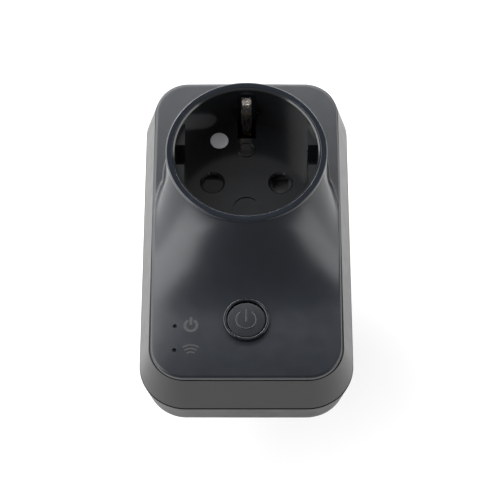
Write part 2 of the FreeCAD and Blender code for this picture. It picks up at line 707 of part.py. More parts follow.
def varistor():
    """The coated disc that clamps surges, standing on edge."""
    radius = 3.6
    return Part.makeCylinder(radius, 2.6, V(-21.0, -36.5, MAIN_TOP + radius + 0.1), V(1, 0, 0))


def fuse_link():
    """The glass fuse in the line, lying on the power board."""
    radius = 1.6
    return Part.makeCylinder(radius, 7.0, V(-20.0, -50.0, MAIN_TOP + radius + 0.1), V(0, 1, 0))


def board_header():
    """The pin header that carries signals and low voltage up to the control board."""
    return box(19.4, 21.2, -48.0, -36.0, ON_MAIN, UNDER_CONTROL)


def radio_module():
    """The radio's own small board."""
    return box(4.0, 20.0, -36.5, -26.0, ON_CONTROL, CONTROL_TOP + RADIO_T)


def radio_shield():
    """The metal can over the radio's circuit."""
    low = CONTROL_TOP + RADIO_T
    return box(5.0, 14.5, -36.0, -26.5, low + FIT, low + 2.0)


# ------------------------------------------------------------------ straps

STRAP_Z = TAIL_Z + FIT
STRAP_T = 0.8
STRAP_HALF = 2.0
CONTACT_UNDER = CONTACT_FOOT_Z - FIT


def neutral_strap():
    """From the neutral pin's tail straight up to the neutral contact."""
    left, right = -PIN_X - STRAP_HALF, -PIN_X + STRAP_HALF
    base = box(left, right, -3.5, 3.5, STRAP_Z, STRAP_Z + STRAP_T)
    riser = box(left, right, -3.5 - STRAP_T, -3.5, STRAP_Z, CONTACT_UNDER)
    return fuse(base, riser)


def line_strap():
    """From the line pin's tail to the relay's input on the power board."""
    left, right = PIN_X - STRAP_HALF, PIN_X + STRAP_HALF
    edge = MAIN_BOARD_EDGE + 0.4
    return fuse(
        box(left, right, edge, 2.0, STRAP_Z, STRAP_Z + STRAP_T),
        box(left, right, edge, edge + STRAP_T, STRAP_Z, ON_MAIN + STRAP_T),
        box(left, right, edge - 3.5, edge + STRAP_T, ON_MAIN, ON_MAIN + STRAP_T),
    )


def switched_strap():
    """From the relay's output back to the line contact."""
    low = CONTACT_UNDER - STRAP_T
    right = PIN_X + 6.0
    run = box(PIN_X + 2.6, right, -23.6, -1.0, low, CONTACT_UNDER)
    tab = box(PIN_X - STRAP_HALF, right, -6.0, -3.0, low, CONTACT_UNDER)
    return fuse(run, tab)


def build_all():
    parts = {
        "front_cover": front_cover(),
        "housing_frame": housing_frame(),
        "rear_shell": rear_shell(),
        "case_screws": case_screws(),
        "plug_body": plug_body(),
        "plug_pin_neutral": plug_pin(-1),
        "plug_pin_line": plug_pin(1),
        "earth_hole_tube": earth_hole_tube(),
        "plug_earth_contact_top": plug_earth_contact(1),
        "plug_earth_contact_bottom": plug_earth_contact(-1),
        "earth_bar": earth_bar(),
        "socket_insert": socket_insert(),
        "seal_disc": seal_disc(),
        "shutter": shutter(),
        "shutter_spring": shutter_spring(),
        "contact_carrier": contact_carrier(),
        "socket_contact_neutral": socket_contact(-1),
        "socket_contact_line": socket_contact(1),
        "earth_clip_top": earth_clip(1),
        "earth_clip_bottom": earth_clip(-1),
        "power_button": power_button(),
        "button_bezel": button_bezel(),
        "tact_switch": tact_switch(),
        "tact_plunger": tact_plunger(),
        "light_pipe_power": light_pipe(0),
        "light_pipe_radio": light_pipe(1),
        "led_power": status_led(0),
        "led_radio": status_led(1),
        "main_board": main_board(),
        "control_board": control_board(),
        "board_spacers": board_spacers(),
        "relay": relay(),
        "transformer_core": transformer_core(),
        "transformer_coil": transformer_coil(),
        "smoothing_capacitors": smoothing_capacitors(),
        "suppression_capacitor": suppression_capacitor(),
        "varistor": varistor(),
        "fuse_link": fuse_link(),
        "board_header": board_header(),
        "radio_module": radio_module(),
        "radio_shield": radio_shield(),
        "neutral_strap": neutral_strap(),
        "line_strap": line_strap(),
        "switched_strap": switched_strap(),
    }
    return parts


os.makedirs("parts", exist_ok=True)
for name, shape in build_all().items():
    shape.exportStep("parts/" + name + ".step")
    print(name, shape.isValid(), len(shape.Solids), round(shape.Volume, 1))
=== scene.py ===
"""Looks for the smart plug: fine visual pieces, materials for every piece, studio and camera.

The frame and the scene are in metres, in the CAD frame: +Z out of the socket, +Y towards the socket
end. The pieces are worked out in millimetres and scaled when their meshes are made.
"""
import json
import math

import bmesh
import bpy
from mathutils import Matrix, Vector


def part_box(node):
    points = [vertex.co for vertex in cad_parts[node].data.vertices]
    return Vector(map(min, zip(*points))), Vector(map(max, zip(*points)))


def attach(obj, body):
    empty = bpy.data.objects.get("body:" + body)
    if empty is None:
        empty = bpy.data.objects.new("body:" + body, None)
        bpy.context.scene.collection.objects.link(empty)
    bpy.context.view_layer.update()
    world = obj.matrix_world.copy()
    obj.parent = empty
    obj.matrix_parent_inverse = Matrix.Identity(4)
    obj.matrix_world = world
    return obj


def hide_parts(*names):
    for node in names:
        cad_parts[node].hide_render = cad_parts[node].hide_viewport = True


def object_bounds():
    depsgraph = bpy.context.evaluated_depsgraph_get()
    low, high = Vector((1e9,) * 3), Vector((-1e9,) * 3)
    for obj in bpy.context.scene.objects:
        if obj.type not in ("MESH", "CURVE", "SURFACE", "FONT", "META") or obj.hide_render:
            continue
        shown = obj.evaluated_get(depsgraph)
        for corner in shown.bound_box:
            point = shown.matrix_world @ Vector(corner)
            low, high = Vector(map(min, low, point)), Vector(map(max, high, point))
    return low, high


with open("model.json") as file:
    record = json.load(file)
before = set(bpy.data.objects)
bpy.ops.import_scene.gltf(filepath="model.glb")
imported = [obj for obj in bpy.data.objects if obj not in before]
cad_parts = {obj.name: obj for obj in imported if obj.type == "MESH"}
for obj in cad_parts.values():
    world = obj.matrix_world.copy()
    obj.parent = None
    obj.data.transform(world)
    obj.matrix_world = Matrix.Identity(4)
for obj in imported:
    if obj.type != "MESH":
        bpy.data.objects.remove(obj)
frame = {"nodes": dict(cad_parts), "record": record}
cad_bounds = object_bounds()

MM = 0.001


def box_mm(node):
    """A node's lowest and highest corners, in millimetres."""
    low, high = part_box(node)
    return Vector(low) / MM, Vector(high) / MM


# ------------------------------------------------------------------ sizes, from the frame

cover_low, cover_high = box_mm("front_cover")
insert_high = box_mm("socket_insert")[1]
bezel_low, bezel_high = box_mm("button_bezel")
cap_low, cap_high = box_mm("power_button")
disc_low, disc_high = box_mm("seal_disc")

SEAT_Z = cover_low.z
RIM_Z = cover_high.z
COVER_HALF = cover_high.x
COVER_TOP = cover_high.y
COVER_BOTTOM = cover_low.y
BORE_R = insert_high.x + 0.1
BUTTON_Y = (bezel_low.y + bezel_high.y) / 2
BEZEL_R = bezel_high.x
CAP_R = BEZEL_R - 1.0
SYMBOL_HEIGHT = 0.1

# the cover's own shape
DECK_Z = SEAT_Z + 1.3                   # flat margin
COVER_CORNER = 9.6
COVER_WALL = 2.0
EDGE_ROUND = 0.75
COLLAR_R = 21.9
BAND = 0.9
FOOT_R = 23.4
FOOT_SPREAD = math.radians(11)
FOOT_HALF = 26.7
FOOT_BOTTOM = -62.0
FOOT_BLEND = 14
ARCH_RUN = 25.0
PILLOW = 1.5
VALLEY = 1.4                            # softness of the valley between margin and arch


# ------------------------------------------------------------------ materials

def new_material(name):
    """An empty node material with a Principled shader, and its helpers."""
    material = bpy.data.materials.new(name)
    material.use_nodes = True
    nodes = material.node_tree.nodes
    links = material.node_tree.links
    shader = nodes["Principled BSDF"]
    place = nodes.new("ShaderNodeTexCoord")
    return material, nodes, links, shader, place


def noise(nodes, links, place, scale, detail=3.0, stretch=None):
    """Noise in object space, with an optional stretch along an axis."""
    texture = nodes.new("ShaderNodeTexNoise")
    texture.inputs["Scale"].default_value = scale
    texture.inputs["Detail"].default_value = detail
    if stretch:
        mapping = nodes.new("ShaderNodeMapping")
        mapping.inputs["Scale"].default_value = stretch
        links.new(place.outputs["Object"], mapping.inputs["Vector"])
        links.new(mapping.outputs["Vector"], texture.inputs["Vector"])
    else:
        links.new(place.outputs["Object"], texture.inputs["Vector"])
    return texture


def spread(nodes, links, source, low, high):
    """Maps the middle of a 0 to 1 value onto low to high."""
    ramp = nodes.new("ShaderNodeMapRange")
    ramp.inputs["From Min"].default_value = 0.3
    ramp.inputs["From Max"].default_value = 0.7
    ramp.inputs["To Min"].default_value = low
    ramp.inputs["To Max"].default_value = high
    links.new(source, ramp.inputs["Value"])
    return ramp.outputs["Result"]


def tint(nodes, links, source, dark, light, start=0.35, end=0.65):
    """Mixes two colours by a 0 to 1 value."""
    ramp = nodes.new("ShaderNodeValToRGB")
    ramp.color_ramp.elements[0].position = start
    ramp.color_ramp.elements[0].color = (*dark, 1)
    ramp.color_ramp.elements[1].position = end
    ramp.color_ramp.elements[1].color = (*light, 1)
    links.new(source, ramp.inputs["Fac"])
    return ramp.outputs["Color"]


def bump(nodes, links, shader, height, strength, distance):
    """Tilts the shading by a height value."""
    node = nodes.new("ShaderNodeBump")
    node.inputs["Strength"].default_value = strength
    node.inputs["Distance"].default_value = distance
    links.new(height, node.inputs["Height"])
    links.new(node.outputs["Normal"], shader.inputs["Normal"])


def painted_edge_highlight(nodes, links, colour, highlight_colour):
    """Lightens a colour where the surface bends sharply outwards: a painted highlight along the edges."""
    geometry = nodes.new("ShaderNodeNewGeometry")
    edge = nodes.new("ShaderNodeMapRange")
    edge.inputs["From Min"].default_value = 0.53
    edge.inputs["From Max"].default_value = 0.62
    edge.inputs["To Max"].default_value = 0.5
    links.new(geometry.outputs["Pointiness"], edge.inputs["Value"])
    mix = nodes.new("ShaderNodeMix")
    mix.data_type = "RGBA"
    mix.inputs["B"].default_value = (*highlight_colour, 1)
    links.new(edge.outputs["Result"], mix.inputs["Factor"])
    links.new(colour, mix.inputs["A"])
    return mix.outputs["Result"]


def plastic(name, colour, roughness, grain=9000.0, depth=0.004, mottle=0.08, coat=0.0, ior=1.5):
    """Moulded plastic: even colour with a slight flow mottle, fine grain, uneven gloss, and a painted
    highlight along the edges.
    """
    material, nodes, links, shader, place = new_material(name)
    flow = noise(nodes, links, place, 120.0, 4.0)
    dark = tuple(c * (1 - mottle) for c in colour)
    light = tuple(c * (1 + mottle) for c in colour)
    body = tint(nodes, links, flow.outputs["Fac"], dark, light)
    # the edges' colour, painted paler as a highlight on convex edges
    edge = tuple(c * 1.8 + 0.002 for c in colour)
    links.new(painted_edge_highlight(nodes, links, body, edge), shader.inputs["Base Color"])
    smear = noise(nodes, links, place, 260.0, 5.0)
    links.new(spread(nodes, links, smear.outputs["Fac"], roughness * 0.94, roughness * 1.06),
              shader.inputs["Roughness"])
    fine = noise(nodes, links, place, grain, 2.0)
    bump(nodes, links, shader, fine.outputs["Fac"], 0.35, depth * MM)
    shader.inputs["IOR"].default_value = ior
    shader.inputs["Coat Weight"].default_value = coat
    shader.inputs["Coat Roughness"].default_value = 0.06
    return material


def polished_rim(material, polish):
    """Makes the flat ring round the collar's end glossier than the satin cover."""
    nodes = material.node_tree.nodes
    links = material.node_tree.links
    shader = nodes["Principled BSDF"]
    place = nodes.new("ShaderNodeTexCoord")
    split = nodes.new("ShaderNodeSeparateXYZ")
    links.new(place.outputs["Object"], split.inputs["Vector"])
    height = nodes.new("ShaderNodeMapRange")
    height.inputs["From Min"].default_value = (RIM_Z - 0.75) * MM
    height.inputs["From Max"].default_value = (RIM_Z - 0.45) * MM
    links.new(split.outputs["Z"], height.inputs["Value"])
    satin = shader.inputs["Roughness"].links[0].from_socket
    mix = nodes.new("ShaderNodeMix")
    mix.inputs["B"].default_value = polish
    links.new(height.outputs["Result"], mix.inputs["Factor"])
    links.new(satin, mix.inputs["A"])
    links.new(mix.outputs["Result"], shader.inputs["Roughness"])


def metal(name, colour, roughness, streak=(1, 1, 1), scratches=0.0006):
    """Plated or rolled metal: faint streaks along the working direction, uneven polish."""
    material, nodes, links, shader, place = new_material(name)
    cloud = noise(nodes, links, place, 400.0, 4.0)
    dark = tuple(c * 0.9 for c in colour)
    links.new(tint(nodes, links, cloud.outputs["Fac"], dark, colour), shader.inputs["Base Color"])
    lines = noise(nodes, links, place, 2500.0, 3.0, streak)
    links.new(spread(nodes, links, lines.outputs["Fac"], roughness * 0.7, roughness * 1.3),
              shader.inputs["Roughness"])
    bump(nodes, links, shader, lines.outputs["Fac"], 0.3, scratches * MM)
    shader.inputs["Metallic"].default_value = 1.0
    return material


def clear_plastic(name, colour, roughness):
    """Clear moulded plastic or glass with faint flow streaks."""
    material, nodes, links, shader, place = new_material(name)
    flow = noise(nodes, links, place, 500.0, 3.0)
    light = tuple(min(1.0, c * 1.06) for c in colour)
    links.new(tint(nodes, links, flow.outputs["Fac"], colour, light), shader.inputs["Base Color"])
    links.new(spread(nodes, links, flow.outputs["Fac"], roughness, roughness * 1.6),
              shader.inputs["Roughness"])
    bump(nodes, links, shader, flow.outputs["Fac"], 0.2, 0.002 * MM)
    shader.inputs["Transmission Weight"].default_value = 0.85
    return material


def laminate(name, mask, board):
    """Circuit board: solder mask with a weave under it and lighter copper runs."""
    material, nodes, links, shader, place = new_material(name)
    runs = nodes.new("ShaderNodeTexBrick")
    runs.inputs["Scale"].default_value = 260.0
    runs.inputs["Color1"].default_value = (*mask, 1)
    runs.inputs["Color2"].default_value = (*(c * 1.25 for c in mask), 1)
    runs.inputs["Mortar"].default_value = (*board, 1)
    runs.inputs["Mortar Size"].default_value = 0.012
    links.new(place.outputs["Object"], runs.inputs["Vector"])
    links.new(runs.outputs["Color"], shader.inputs["Base Color"])
    fine = noise(nodes, links, place, 3000.0, 2.0)
    bump(nodes, links, shader, fine.outputs["Fac"], 0.2, 0.004 * MM)
    shader.inputs["Roughness"].default_value = 0.32
    return material


def paper(name, colour):
    """Pale matt label stock with faint fibres."""
    material, nodes, links, shader, place = new_material(name)
    fibres = noise(nodes, links, place, 1800.0, 6.0, (1, 3, 1))
    light = tuple(c * 1.1 for c in colour)
    links.new(tint(nodes, links, fibres.outputs["Fac"], colour, light), shader.inputs["Base Color"])
    bump(nodes, links, shader, fibres.outputs["Fac"], 0.4, 0.01 * MM)
    shader.inputs["Roughness"].default_value = 0.55
    return material


def ink(name, colour):
    """Pad-printed ink: matt, a little uneven in cover."""
    material, nodes, links, shader, place = new_material(name)
    patch = noise(nodes, links, place, 2500.0, 4.0)
    dark = tuple(c * 0.82 for c in colour)
    links.new(tint(nodes, links, patch.outputs["Fac"], dark, colour), shader.inputs["Base Color"])
    bump(nodes, links, shader, patch.outputs["Fac"], 0.3, 0.004 * MM)
    shader.inputs["Roughness"].default_value = 0.6
    return material


SLOT_MATERIALS = {
    "cover_plastic": plastic("cover_plastic", (0.0056, 0.0076, 0.0120), 0.335, depth=0.003),
    "case_plastic": plastic("case_plastic", (0.0030, 0.0030, 0.0029), 0.34, depth=0.005, ior=1.5),
    "shell_plastic": plastic("shell_plastic", (0.0030, 0.0030, 0.0028), 0.45, depth=0.006, ior=1.38),
    "plug_plastic": plastic("plug_plastic", (0.020, 0.020, 0.021), 0.40),
    "insert_plastic": plastic("insert_plastic", (0.0080, 0.0090, 0.0098), 0.15, depth=0.001),
    "button_plastic": plastic("button_plastic", (0.0045, 0.0060, 0.0090), 0.30, depth=0.003),
    "bezel_gloss": plastic("bezel_gloss", (0.006, 0.007, 0.010), 0.1, depth=0.0001),
    "shutter_plastic": plastic("shutter_plastic", (0.012, 0.012, 0.013), 0.3),
    "carrier_plastic": plastic("carrier_plastic", (0.08, 0.08, 0.085), 0.5),
    "black_component": plastic("black_component", (0.02, 0.02, 0.02), 0.5),
    "seal_paper": paper("seal_paper", (0.85, 0.85, 0.88)),
    "nickel_plate": metal("nickel_plate", (0.90, 0.84, 0.79), 0.28, (1, 1, 0.1)),
    "brass_parts": metal("brass_parts", (0.80, 0.58, 0.28), 0.25, (1, 1, 0.15)),
    "copper_strap": metal("copper_strap", (0.82, 0.47, 0.32), 0.28, (1, 0.15, 1)),
    "screw_steel": metal("screw_steel", (0.55, 0.55, 0.56), 0.3, (1, 1, 0.2)),
    "spring_steel": metal("spring_steel", (0.6, 0.6, 0.6), 0.25),
    "clear_rod": plastic("clear_rod", (0.004, 0.004, 0.005), 0.5, ior=1.15),
    "lamp_body": plastic("lamp_body", (0.75, 0.74, 0.62), 0.35),
    "board_laminate": laminate("board_laminate", (0.012, 0.085, 0.035), (0.05, 0.16, 0.06)),
    "relay_case": plastic("relay_case", (0.02, 0.06, 0.22), 0.35),
    "ferrite": plastic("ferrite", (0.03, 0.03, 0.032), 0.6, depth=0.02),
    "coil_tape": plastic("coil_tape", (0.62, 0.42, 0.04), 0.25),
    "capacitor_can": metal("capacitor_can", (0.75, 0.75, 0.77), 0.3, (1, 0.2, 1)),
    "film_capacitor": plastic("film_capacitor", (0.55, 0.38, 0.03), 0.4),
    "varistor_coat": plastic("varistor_coat", (0.02, 0.1, 0.35), 0.45, depth=0.02),
    "fuse_glass": clear_plastic("fuse_glass", (0.85, 0.85, 0.85), 0.05),
    "shield_can": metal("shield_can", (0.62, 0.62, 0.63), 0.35, (0.2, 1, 1)),
}
polished_rim(SLOT_MATERIALS["cover_plastic"], 0.09)
PRINT_INK = ink("print_ink", (0.018, 0.018, 0.021))


def dress(obj, material):
    """Gives an object one material."""
    obj.data.materials.clear()
    obj.data.materials.append(material)


for entry in frame["record"]["subparts"]:
    dress(frame["nodes"][entry["node"]], SLOT_MATERIALS[entry["material_slot"]])


# ------------------------------------------------------------------ mesh helpers

def add_piece(name, vertices, faces, body, slot, stands_for=(), crease=35.0):
    """Makes a piece from millimetre vertices, gives it a material, hangs it on its body and hides the
    pieces it stands for.
    """
    mesh = bpy.data.meshes.new(name)
    mesh.from_pydata([Vector(v) * MM for v in vertices], [], faces)
    build = bmesh.new()
    build.from_mesh(mesh)
    bmesh.ops.remove_doubles(build, verts=build.verts, dist=1e-7)
    bmesh.ops.recalc_face_normals(build, faces=build.faces)
    build.to_mesh(mesh)
    build.free()
    mesh.shade_smooth()
    mesh.set_sharp_from_angle(angle=math.radians(crease))
    obj = bpy.data.objects.new(name, mesh)
    bpy.context.scene.collection.objects.link(obj)
    dress(obj, SLOT_MATERIALS[slot])
    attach(obj, body)
    if stands_for:
        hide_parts(*stands_for)
    return obj


def grid_faces(rows, columns, wrap_rows, wrap_columns):
    """Quads between neighbouring rows and columns of a grid of vertices."""
    faces = []
    for i in range(rows if wrap_rows else rows - 1):
        for j in range(columns if wrap_columns else columns - 1):
            i_next = (i + 1) % rows
            j_next = (j + 1) % columns
            faces.append((
                i * columns + j, i_next * columns + j,
                i_next * columns + j_next, i * columns + j_next,
            ))
    return faces


def end_faces(rows, columns):
    """The two end faces of a tube made of rows of vertices."""
    last_row = range((rows - 1) * columns, rows * columns)
    return [tuple(range(columns)), tuple(reversed(last_row))]


def rounded_profile(corners, steps=6):
    """A closed outline through (u, v, radius) corners, each rounded by its radius."""
    points = []
    count = len(corners)
    for index, (u, v, radius) in enumerate(corners):
        here = Vector((u, v))
        before = (Vector(corners[index - 1][:2]) - here).normalized()
        after = (Vector(corners[(index + 1) % count][:2]) - here).normalized()
        half = before.angle(after) / 2
        if radius == 0 or half > math.radians(89):
            points.append(here)
            continue
        reach = radius / math.tan(half)
        centre = here + (before + after).normalized() * (radius / math.sin(half))
        start = here + before * reach - centre
        turn = start.angle_signed(here + after * reach - centre)
        for k in range(steps + 1):
            angle = -turn * k / steps
            cos, sin = math.cos(angle), math.sin(angle)
            points.append(centre + Vector((start.x * cos - start.y * sin, start.x * sin + start.y * cos)))
    return points


def lathe(profile, x, y, turns=128):
    """Vertices and faces of a closed (radius, height) profile turned about a vertical axis at x, y."""
    vertices = []
    for i in range(turns):
        angle = math.tau * i / turns
        vertices += [(x + p[0] * math.cos(angle), y + p[0] * math.sin(angle), p[1]) for p in profile]
    return vertices, grid_faces(turns, len(profile), True, True)


def smooth(t):
    """0 below 0, 1 above 1, and an even S between."""
    t = min(1.0, max(0.0, t))
    return t * t * (3 - 2 * t)


# ------------------------------------------------------------------ front cover

def foot_width(y):
    """Half the distance between the two foot lines of the arch at y."""
    line = FOOT_R / math.cos(FOOT_SPREAD) - min(y, 0.0) * math.tan(FOOT_SPREAD)
    return (line ** -FOOT_BLEND + FOOT_HALF ** -FOOT_BLEND) ** (-1 / FOOT_BLEND)


def arch_height(x, y):
    """Height over the margin of the arch between the collar and the button end."""
    rise = RIM_Z - BAND - DECK_Z
    past = min(1.0, max(0.0, -y - COLLAR_R) / ARCH_RUN)
    first_slope = 2 * COLLAR_R * ARCH_RUN / foot_width(-COLLAR_R) ** 2
    ridge = rise * (1 - past) ** 3 * (1 + (3 - first_slope) * past)
    under_collar = min(0.0, y * y - COLLAR_R ** 2)
    wide = foot_width(y) ** 2
    return ridge * (wide - x * x) / (wide + under_collar)


def surface_z(x, y):
    """Height of the cover's surface on the button side."""
    low = smooth((-y - 14) / 20)
    arch = arch_height(x, y)
    valley = VALLEY - 1.0 * low
    across = 1 - abs(x / FOOT_HALF) ** 4
    along = 1 - abs(y / FOOT_BOTTOM) ** 8
    return DECK_Z + (arch + math.hypot(arch, valley)) / 2 + PILLOW * across * along * low


def edge_radius(angle, inset=0.0):
    """Distance from the socket axis to the cover's outline in one direction."""
    ux, uy = math.cos(angle), math.sin(angle)
    half = COVER_HALF - inset
    end = COVER_TOP - inset if uy > 0 else -COVER_BOTTOM - inset
    reach = min(half / max(abs(ux), 1e-9), end / max(abs(uy), 1e-9))
    round_r = COVER_CORNER - inset
    cx, cy = half - round_r, end - round_r
    if abs(ux) * reach > cx and abs(uy) * reach > cy:
        along = abs(ux) * cx + abs(uy) * cy
        reach = along + math.sqrt(along * along - cx * cx - cy * cy + round_r * round_r)
    return reach


def cover_ray(angle, steps=44):
    """(radius, height) points of the cover's outer surface in one direction, from collar to edge."""
    last = edge_radius(angle, EDGE_ROUND)
    wall_share = 0.62                   # share of the points on the collar's wall
    radii = (COLLAR_R, COLLAR_R, COLLAR_R + 0.4, FOOT_R)
    heights = (RIM_Z - BAND, DECK_Z + 4.0, DECK_Z + 0.1, DECK_Z)
    points = []
    for k in range(steps + 1):
        s = k / steps
        t = min(1.0, s / wall_share)
        out = max(0.0, (s - wall_share) / (1 - wall_share))
        weights = ((1 - t) ** 3, 3 * t * (1 - t) ** 2, 3 * t * t * (1 - t), t ** 3)
        wall_r = sum(w * r for w, r in zip(weights, radii)) + out * (last - FOOT_R)
        wall_z = sum(w * z for w, z in zip(weights, heights))
        radius = COLLAR_R + (last - COLLAR_R) * s ** 1.4
        height = wall_z
        if math.sin(angle) < 0:
            height = surface_z(radius * math.cos(angle), radius * math.sin(angle))
        arch = smooth(-math.sin(angle) / 0.35)
        points.append((wall_r + arch * (radius - wall_r), wall_z + arch * (height - wall_z)))
    return points


def cover_section(angle):
    """The cover's whole closed section in one direction: rim, sweep, edge, underside and bore."""
    lip = 0.13                          # round of the bore's edge
    crown = 0.4                         # round of the collar's outer edge
    edge_chamfer = 0.25
    section = [(BORE_R, SEAT_Z), (BORE_R, RIM_Z - lip)]
    section += [(BORE_R + lip * (1 - math.cos(a)), RIM_Z - lip * (1 - math.sin(a)))
                for a in (math.radians(d) for d in (30, 60, 90))]
    section += [(COLLAR_R - crown + crown * math.sin(a), RIM_Z - crown * (1 - math.cos(a)))
                for a in (math.radians(d) for d in range(0, 91, 10))]
    ray = cover_ray(angle)
    section += ray[1:]
    top = ray[-1][1]
    section += [(ray[-1][0] + EDGE_ROUND * math.sin(a), top - EDGE_ROUND * (1 - math.cos(a)))
                for a in (math.radians(d) for d in range(15, 91, 15))]
    edge = ray[-1][0] + EDGE_ROUND
    section += [(edge, SEAT_Z + edge_chamfer), (edge - edge_chamfer, SEAT_Z)]
    inner = edge - COVER_WALL
    section += [(inner, SEAT_Z)]
    for radius, height in reversed(ray[2::6]):
        section.append((min(radius, inner - 0.05), max(SEAT_Z + 0.001, height - COVER_WALL)))
    section += [(COLLAR_R, SEAT_Z)]
    return section


def cut_hole(obj, x, y, radius, count=96):
    """Cuts a round vertical hole through a piece."""
    vertices = []
    for z in (SEAT_Z - 2, RIM_Z + 2):
        vertices += [
            Vector((x + radius * math.cos(math.tau * i / count),
                    y + radius * math.sin(math.tau * i / count), z)) * MM
            for i in range(count)
        ]
    faces = [(i, (i + 1) % count, count + (i + 1) % count, count + i) for i in range(count)]
    faces += [tuple(reversed(range(count))), tuple(range(count, 2 * count))]
    mesh = bpy.data.meshes.new("cutter")
    mesh.from_pydata(vertices, [], faces)
    cutter = bpy.data.objects.new("cutter", mesh)
    bpy.context.scene.collection.objects.link(cutter)
    cut = obj.modifiers.new("hole", "BOOLEAN")
    cut.operation = "DIFFERENCE"
    cut.solver = "EXACT"
    cut.object = cutter
    bpy.context.view_layer.update()
    depsgraph = bpy.context.evaluated_depsgraph_get()
    result = bpy.data.meshes.new_from_object(obj.evaluated_get(depsgraph))
    obj.modifiers.clear()
    obj.data = result
    bpy.data.objects.remove(cutter)


def lamp_spots():
    """Centres of the two lamp holes."""
    spots = []
    for node in ("light_pipe_power", "light_pipe_radio"):
        low, high = box_mm(node)
        spots.append(((low.x + high.x) / 2, (low.y + high.y) / 2))
    return spots


def cover():
    """The front cover as one closed skin, with its holes for the button's ring and the two lamps."""
    turns = 512
    crease = 40.0
    ring_fit = 0.05
    lamp_hole_r = 0.56
    vertices = []
    for i in range(turns):
        angle = math.tau * (i + 0.5) / turns
        section = cover_section(angle)
        vertices += [(r * math.cos(angle), r * math.sin(angle), z) for r, z in section]
    faces = grid_faces(turns, len(section), True, True)
    skin = add_piece("cover_skin", vertices, faces, "case", "cover_plastic", ["front_cover"], crease)
    cut_hole(skin, 0.0, BUTTON_Y, BEZEL_R + ring_fit)
    for x, y in lamp_spots():
        cut_hole(skin, x, y, lamp_hole_r)
    skin.data.set_sharp_from_angle(angle=math.radians(crease))


# ------------------------------------------------------------------ marks

def stroke(points, half_width, section, height_at):
    """A raised line with round ends along (x, y) points, on a surface of known height."""
    path = [Vector(p) for p in points]
    first = (path[0] - path[1]).normalized()
    last = (path[-1] - path[-2]).normalized()
    caps = [math.radians(d) for d in (5, 30, 60)]
    stations = [(path[0] + first * half_width * math.cos(a), math.sin(a)) for a in caps]
    stations += [(p, 1.0) for p in path]
    stations += [(path[-1] + last * half_width * math.cos(a), math.sin(a)) for a in reversed(caps)]
    vertices = []
    for k, (spot, share) in enumerate(stations):
        before = stations[max(0, k - 1)][0]
        after = stations[min(len(stations) - 1, k + 1)][0]
        along = (after - before).normalized()
        side = Vector((-along.y, along.x))
        for across, up in section:
            at = spot + side * across * half_width * share
            vertices.append((at.x, at.y, height_at(at.x, at.y) + up))
    width = len(section)
    faces = grid_faces(len(stations), width, False, True)
    faces += end_faces(len(stations), width)
    return vertices, faces


def arc(x, y, radius, start, end, count=28):
    """Points on an arc, angles in degrees from +X."""
    return [
        (x + radius * math.cos(math.radians(start + (end - start) * k / count)),
         y + radius * math.sin(math.radians(start + (end - start) * k / count)))
        for k in range(count + 1)
    ]


def join(parts):
    """Several (vertices, faces) lists as one."""
    vertices, faces = [], []
    for more_vertices, more_faces in parts:
        offset = len(vertices)
        vertices += more_vertices
        faces += [tuple(offset + i for i in face) for face in more_faces]
    return vertices, faces


def power_symbol(x, y, radius, top, low, half_width, section, height_at):
    """An open circle with a bar in its gap, from low to top over the centre."""
    gap = 38                            # half the gap, in degrees
    ring = stroke(arc(x, y, radius, 90 + gap, 450 - gap, 56), half_width, section, height_at)
    bar = stroke([(x, y + top - (top - low) * k / 8) for k in range(9)], half_width, section, height_at)
    return join([ring, bar])


# sections of a raised line: (across, -1 to 1; up, in mm)
FLAT_INK = ((-1, -0.03), (-1, 0.02), (-0.5, 0.022), (0, 0.022), (0.5, 0.022), (1, 0.02), (1, -0.03))


def printed_marks():
    """The printed power and radio marks beside the lamps."""
    (lamp_x, power_y), (_, radio_y) = lamp_spots()
    x = lamp_x + 4.3
    vertices, faces = power_symbol(
        x, power_y + 0.1, radius=1.6, top=2.1, low=0.4, half_width=0.38,
        section=FLAT_INK, height_at=surface_z)
    dress(add_piece("mark_power", vertices, faces, "case", "cover_plastic"), PRINT_INK)
    centre = radio_y - 2.23
    half_width = 0.2
    waves = [stroke(arc(x, centre, radius, 56, 124, 20), half_width, FLAT_INK, surface_z)
             for radius in (3.6, 2.6, 1.62)]
    vertices, faces = join(waves)
    dress(add_piece("mark_radio", vertices, faces, "case", "cover_plastic"), PRINT_INK)


# ------------------------------------------------------------------ button

BEAD = ((-1, -0.1), (-0.8, 0.05), (-0.35, 0.1), (0.35, 0.1), (0.8, 0.05), (1, -0.1))


def cap_face(x, y):
    """Height of the button's slightly domed face."""
    dome = 0.16
    return cap_high.z - SYMBOL_HEIGHT - dome * (math.hypot(x, y - BUTTON_Y) / CAP_R) ** 2


def button_cap():
    """The cap, with its rounded edge, the skirt under the ring and the stem."""
    edge_round = 0.25
    flat_r = CAP_R - edge_round
    flange_z = bezel_low.z - 0.25
    stem_r = 2.0
    stem_top = cap_low.z + 2.0
    face = [(flat_r * k / 12, cap_face(flat_r * k / 12, BUTTON_Y)) for k in range(13)]
    edge_top = face[-1][1]
    edge = [(flat_r + edge_round * math.sin(a), edge_top - edge_round * (1 - math.cos(a)))
            for a in (math.radians(d) for d in (15, 30, 45, 60, 75, 90))]
    skirt = [(CAP_R, flange_z), (cap_high.x, flange_z), (cap_high.x, stem_top), (stem_r, stem_top),
             (stem_r, cap_low.z), (0.0, cap_low.z)]
    vertices, faces = lathe(face + edge + skirt, 0.0, BUTTON_Y)
    add_piece("button_cap", vertices, faces, "button", "button_plastic", ["power_button"], 50.0)


def button_symbol():
    """The raised power symbol on the cap."""
    vertices, faces = power_symbol(
        0.0, BUTTON_Y, radius=2.65, top=2.9, low=-0.6, half_width=0.26,
        section=BEAD, height_at=cap_face)
    add_piece("button_symbol", vertices, faces, "button", "button_plastic", crease=60.0)


